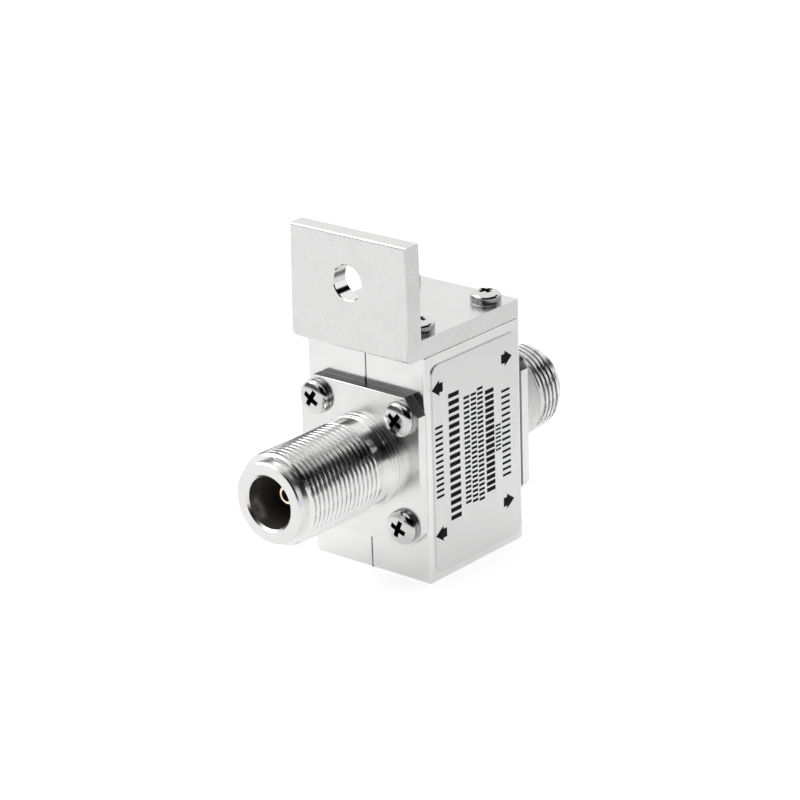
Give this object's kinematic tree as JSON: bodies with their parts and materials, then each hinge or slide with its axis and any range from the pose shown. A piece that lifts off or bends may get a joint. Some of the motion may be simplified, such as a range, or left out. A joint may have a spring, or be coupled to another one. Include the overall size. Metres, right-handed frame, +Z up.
{
  "type": "coax lightning arrestor",
  "caption": "Plated two-part surge arrestor box with a threaded coaxial socket on each end, a drilled angle bracket on top and a nameplate on one side.",
  "frame": {"origin": "centre of the box's underside, on the seam between its two halves", "axes": "+Z up from the underside to the bracket, -Y along the antenna jack, +Y along the equipment jack, +X out of the nameplate side"},
  "size_m": [0.0255, 0.0682, 0.0592],
  "materials": {
    "housing_plating": "satin plated",
    "connector_plating": "bright nickel-type plating",
    "bracket_plating": "satin plated",
    "screw_steel": "plated steel, lightly worn bright",
    "nameplate_foil": "satin metallised foil with black print",
    "contact_gold": "gold plated",
    "insulator_ptfe": "dull brown-grey",
    "gasket_elastomer": "dull dark",
    "line_brass": "bare turned",
    "ceramic": "matt fired ceramic",
    "coil_enamel": "enamelled wire"
  },
  "bodies": {
    "root": {"housing_left": "housing_plating", "housing_right": "housing_plating", "antenna_connector": "connector_plating", "equipment_connector": "connector_plating", "antenna_gasket": "gasket_elastomer", "equipment_gasket": "gasket_elastomer", "antenna_insulator": "insulator_ptfe", "equipment_insulator": "insulator_ptfe", "antenna_contact": "contact_gold", "equipment_contact": "contact_gold", "antenna_flange_screws": "screw_steel", "equipment_flange_screws": "screw_steel", "mounting_bracket": "bracket_plating", "bracket_screws": "screw_steel", "nameplate": "nameplate_foil", "antenna_line": "line_brass", "equipment_line": "line_brass", "blocking_capacitor": "ceramic", "gas_tube": "ceramic", "gas_tube_holder": "line_brass", "drain_coil": "coil_enamel"}
  },
  "joints": []
}
